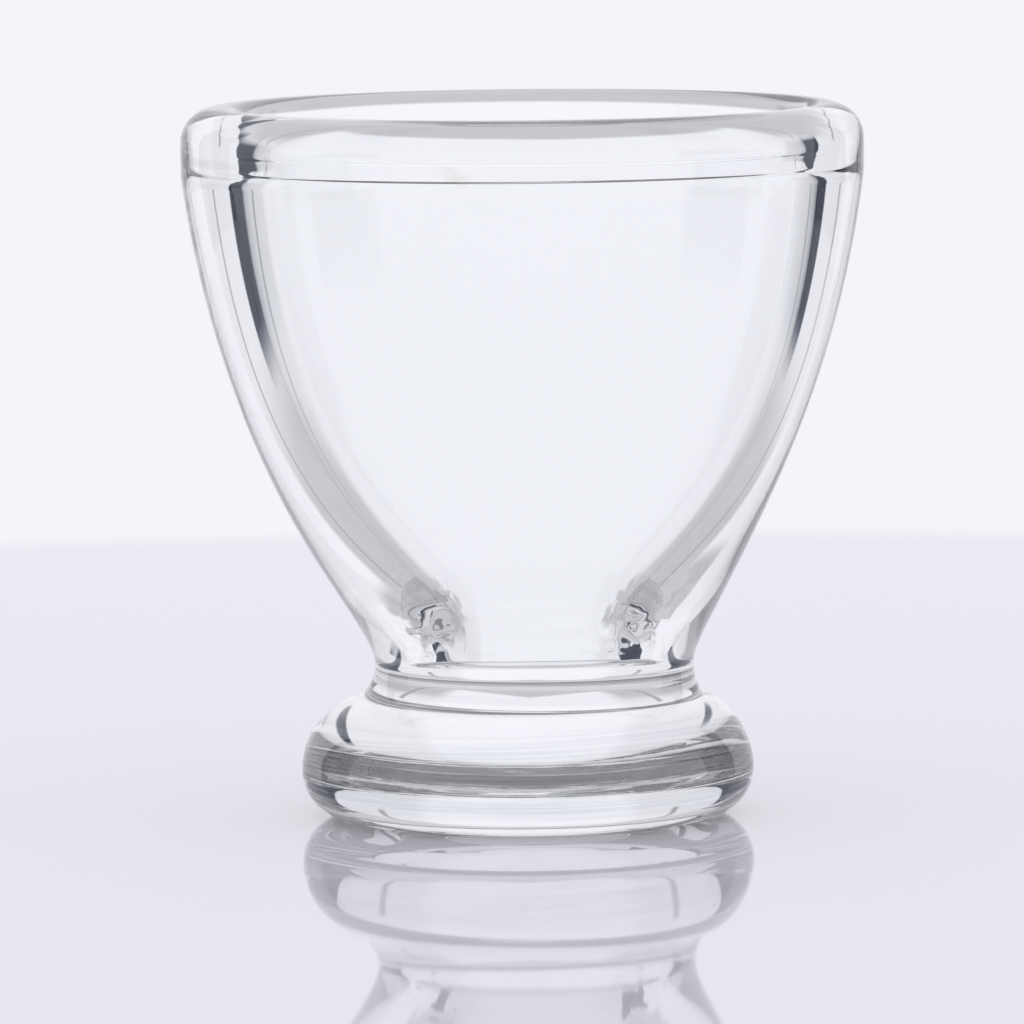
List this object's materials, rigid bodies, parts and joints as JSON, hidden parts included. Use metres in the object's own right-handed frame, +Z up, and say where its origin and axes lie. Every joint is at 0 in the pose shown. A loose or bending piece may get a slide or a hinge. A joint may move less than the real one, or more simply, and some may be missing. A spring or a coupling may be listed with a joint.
{
  "type": "eye bath",
  "caption": "Clear glass eye bath: an oval cup with a thick rounded rim on a short neck and a round doughnut foot, filled and held over the eye to rinse it.",
  "frame": {"origin": "centre of the foot's flat underside, on the surface it stands on", "axes": "+Z up along the cup's axis, +X along the mouth's long axis, +Y across the mouth"},
  "size_m": [0.05, 0.0396, 0.0522],
  "materials": {
    "clear_glass": "fire-polished clear pressed glass"
  },
  "bodies": {
    "root": {"rim": "clear_glass", "bowl": "clear_glass", "neck": "clear_glass", "foot": "clear_glass"}
  },
  "joints": []
}
